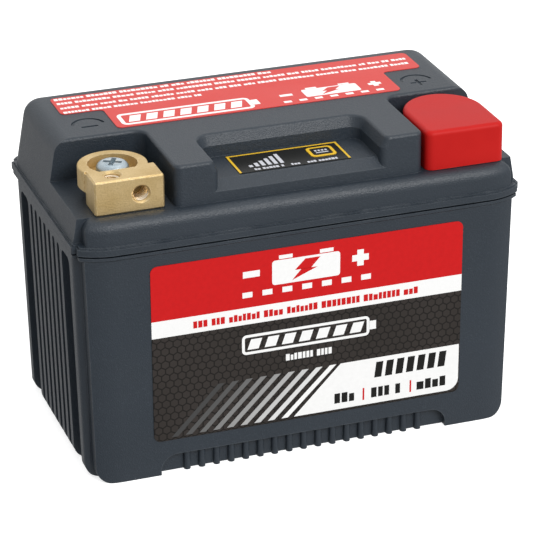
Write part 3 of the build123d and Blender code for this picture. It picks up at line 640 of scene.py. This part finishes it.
def bolt_icon(x, y):
    """Lightning bolt, as two slanted wedges."""
    middle = (x[0] + x[1]) / 2
    width = 0.15 * (x[1] - x[0])
    low = y[0] + 0.08 * (y[1] - y[0])
    high = y[1] - 0.24 * (y[1] - y[0])
    centre = (low + high) / 2
    upper = [(middle - 0.6 * width, centre - 0.05), (middle + 0.25 * width, centre - 0.05),
             (middle + 0.75 * width, high), (middle - 0.05 * width, high)]
    lower = [(middle - 0.75 * width, low), (middle + 0.6 * width, centre + 0.05),
             (middle - 0.25 * width, centre + 0.05)]
    return [upper, lower]


LEAN = math.tan(math.radians(1.03))        # draft of the front face
LOGO_X = (-21.2, 21.2)
LOGO_Z = (61.9, 72.0)


def front_panel():
    """White panel: slanted on the left like the stripes, round at the lower right."""
    x = (40.0, 53.3)
    z = (13.4, 30.0)
    slant_foot, slant_top = -4.2, 11.9
    square = 0.1
    box = rounded(x, z, (square, 4.0, square, square))
    right_end = box[CORNER_STEPS:3 * (CORNER_STEPS + 1)]
    return [(slant_foot, z[0])] + right_end + [(slant_top, z[1])]


def panel_blocks():
    """Row of big blocks, and three groups of small marks below it."""
    width = 2.5
    pitch = 3.7
    blocks = []
    for index in range(7):
        at = 23.6 + pitch * index
        blocks.append(bar((at, at + width), (22.8, 28.4), 0.12))
    for group in ((9.8, 18.0), (22.6, 34.4), (38.6, 49.6)):
        blocks += lines_of_marks(group, (15.6, 19.2), 0.6)
    return blocks


def print_front_label(inks):
    """The front label's pictures and marks, one piece for each colour."""
    low, high = (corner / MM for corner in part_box("front_label"))
    plane = Plane((0.0, low.y + high.z * LEAN, 0.0), (1, 0, 0), (0, -LEAN, 1))
    dashes = ((-21.4, 22.0), (58.9, 60.8))
    strip_marks = ((-37.8, 40.1), (51.1, 53.5))
    gauge_place = ((-21.7, 24.0), (38.7, 45.7))
    gauge_marks = ((-6.9, 9.3), (34.3, 36.6))
    divider = 0.6
    white = battery_icon(LOGO_X, LOGO_Z)
    white += spaced_dashes(*dashes, 7)
    white += gauge(*gauge_place, 7, 0.95)
    white += lines_of_marks(*gauge_marks, 0.5)
    white.append(front_panel())
    print_on("front_print_white", plane, white, inks["white"])
    red = bolt_icon(LOGO_X, LOGO_Z)
    red += lines_of_marks(*strip_marks, 0.55)
    red += [bar((at, at + divider), (15.2, 19.6)) for at in (19.6, 36.1)]
    print_on("front_print_red", plane, red, inks["red"], INK_OVER)
    print_on("front_print_dark", plane, panel_blocks(), inks["dark"], INK_OVER)
    print_stripes(plane)


def print_stripes(plane):
    """Slanted stripes that fade into the dark field towards the left."""
    count = 9
    half = 1.1
    low, high = 13.5, 30.0
    darkest = 0.05
    for index in range(count):
        top = 9.3 - index * 4.75
        foot = -7.4 - index * 4.65
        stripe = [(foot - half, low), (foot + half, low), (top + half, high), (top - half, high)]
        fade = (1.0 - index / count) ** 2.0
        shade = tuple(darkest + fade * (part - darkest) for part in WHITE)
        ink = printed(f"stripe_{index + 1}", shade)
        print_on(f"front_stripe_{index + 1}", plane, [stripe], ink)


# Top label, in millimetres
TOP_FILM = 0.2         # thickness of the film; the print makes up the rest of the label
STEP_X = 48.6          # the front corners are cut back beyond this X and in front of this Y
STEP_Y = 16.6
TOP_LOGO_X = (9.0, 44.5)
TOP_LOGO_Y = (3.5, 11.4)


def top_outline(low, high):
    """Outline of the top label: cut back at both front corners, every corner rounded."""
    radius = 1.8
    turns = [(low.x, STEP_Y), (-STEP_X, STEP_Y), (-STEP_X, low.y), (STEP_X, low.y),
             (STEP_X, STEP_Y), (high.x, STEP_Y), (high.x, high.y), (low.x, high.y)]
    outline = []
    for index, turn in enumerate(turns):
        here = Vector(turn)
        back = (Vector(turns[index - 1]) - here).normalized()
        ahead = (Vector(turns[(index + 1) % len(turns)]) - here).normalized()
        centre = here + (back + ahead) * radius
        for step in range(CORNER_STEPS + 1):
            angle = math.radians(90 * step / CORNER_STEPS)
            spot = centre - ahead * radius * math.cos(angle) - back * radius * math.sin(angle)
            outline.append((spot.x, spot.y))
    return outline


def top_label_piece(inks):
    """Thin film and print, in the place of the CAD's one plate."""
    low, high = (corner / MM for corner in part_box("top_label"))
    plane = Plane((0.0, 0.0, low.z), (1, 0, 0), (0, 1, 0))
    outline = top_outline(low, high)
    film = print_on("top_label_film", plane, [outline], inks["top_red"], TOP_FILM, sunk=0.0)
    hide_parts("top_label")
    face = Plane((0.0, 0.0, low.z + TOP_FILM), (1, 0, 0), (0, 1, 0))
    left = -61.4
    lines = (((left, 14.0), (29.0, 30.8)), ((left, 60.7), (25.2, 26.9)),
             ((left, 60.6), (21.0, 22.7)), ((left, -13.7), (17.0, 18.6)))
    gauge_place = ((-46.3, 1.0), (0.4, 10.2))
    dashes = ((8.5, 43.4), (0.9, 2.4))
    white = []
    for line in lines:
        white += lines_of_marks(*line)
    white += gauge(*gauge_place, 7, 1.3)
    white += battery_icon(TOP_LOGO_X, TOP_LOGO_Y)
    white += spaced_dashes(*dashes, 7)
    print_on("top_print_white", face, white, inks["white"])
    bolt = bolt_icon(TOP_LOGO_X, TOP_LOGO_Y)
    print_on("top_print_red", face, bolt, inks["top_red"], INK_OVER)


def print_display(inks):
    """Yellow frame, rising charge bars and a line of marks on the charge display."""
    low, high = (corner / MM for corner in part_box("display_label"))
    plane = Plane((0.0, 0.0, high.z), (1, 0, 0), (0, 1, 0))
    width = 0.75
    inset = 0.05
    front_inset = 0.15
    x = (low.x + inset, high.x - inset)
    y = (low.y + front_inset, high.y - inset)
    yellow = [bar((x[0], x[0] + width), y), bar((x[1] - width, x[1]), y),
              bar((x[0] + width, x[1] - width), (y[1] - width, y[1]))]
    print_on("display_print_yellow", plane, yellow, inks["yellow"])
    bars = []
    half = 0.62
    foot = -29.9
    for index in range(6):
        middle = -13.45 + 2.05 * index
        top = -28.3 + 1.22 * index
        bars.append(bar((middle - half, middle + half), (foot, top)))
    for words in ((-13.2, -3.2), (-1.0, 2.4), (4.4, 15.4)):
        bars += lines_of_marks(words, (-32.7, -31.3))
    print_on("display_print_white", plane, bars, inks["pale"])
    print_key(inks)


def print_key(inks):
    """Dark face of the test key, with pale marks."""
    low, high = (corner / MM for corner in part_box("test_button"))
    inset = 2.0        # from the key's hidden flange
    x = (low.x + inset, high.x - inset)
    y = (low.y + inset, high.y - inset)
    top = Plane((0.0, 0.0, high.z), (1, 0, 0), (0, 1, 0))
    print_on("key_print_dark", top, [rounded(x, y, 0.8)], inks["dark"], 0.02, "button")
    middle = (x[0] + x[1]) / 2
    centre = (y[0] + y[1]) / 2
    wide = (middle - 2.1, middle + 2.1)
    marks = [bar(wide, (centre - 1.3, centre - 0.7))]
    marks += spaced_dashes(wide, (centre + 0.1, centre + 1.2), 4, 0.65)
    print_on("key_print_white", top, marks, inks["pale"], 0.035, "button")


# Tapped holes of the terminals, in millimetres. The X is mirrored from side to side.
TOP_HOLE_X, TOP_HOLE_Y = 59.6, -31.7
FRONT_HOLE_X, FRONT_HOLE_Z = 51.8, 97.0
HOLE_MOUTH = 1.1       # the thread starts this far below the face
THREAD_LENGTH = 6.0


def add_thread(name, centre, into, length, material):
    """Helical ridge inside a tapped hole, from its mouth inwards."""
    root = 2.53
    crest = 2.16
    root_half = 0.42       # half the ridge's width along the hole, at its foot
    crest_half = 0.06
    section = ((root, -root_half), (crest, -crest_half), (crest, crest_half), (root, root_half))
    pitch = 1.0
    around = 28
    side = into.orthogonal().normalized()
    other = into.cross(side)
    mesh = bpy.data.meshes.new(name)
    bm = bmesh.new()
    rings = []
    for step in range(int(around * length / pitch) + 1):
        angle = 2 * math.pi * step / around
        spoke = side * math.cos(angle) + other * math.sin(angle)
        depth = pitch * step / around
        ring = []
        for radius, along in section:
            spot = centre + spoke * radius + into * (depth + along)
            ring.append(bm.verts.new(spot * MM))
        rings.append(ring)
    for first, second in zip(rings, rings[1:]):
        for index in range(len(first)):
            after = (index + 1) % len(first)
            bm.faces.new((first[index], first[after], second[after], second[index]))
    bm.faces.new(rings[0])
    bm.faces.new(list(reversed(rings[-1])))
    bmesh.ops.recalc_face_normals(bm, faces=bm.faces)
    bm.to_mesh(mesh)
    bm.free()
    add_piece(name, mesh, material, "case")


def add_threads(material):
    """A thread in each tapped hole of both terminals."""
    down = Vector((0.0, 0.0, -1.0))
    back = Vector((0.0, 1.0, 0.0))
    for word, side in (("negative", -1), ("positive", 1)):
        low, high = (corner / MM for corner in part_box(f"{word}_terminal"))
        top = Vector((side * TOP_HOLE_X, TOP_HOLE_Y, high.z - HOLE_MOUTH))
        front = Vector((side * FRONT_HOLE_X, low.y + HOLE_MOUTH, FRONT_HOLE_Z))
        add_thread(f"{word}_top_thread", top, down, THREAD_LENGTH, material)
        add_thread(f"{word}_front_thread", front, back, THREAD_LENGTH, material)


def main():
    add_camera()
    add_studio()
    dress_nodes()
    thread_metal = thread_brass()
    inks = {"white": printed("ink_white", WHITE), "red": printed("ink_red", RED),
            "dark": printed("ink_dark", INK_BLACK), "yellow": printed("ink_yellow", YELLOW),
            "pale": printed("ink_pale", PALE), "top_red": printed("top_film_red", TOP_RED, 0.40)}
    print_front_label(inks)
    top_label_piece(inks)
    print_display(inks)
    add_threads(thread_metal)


main()
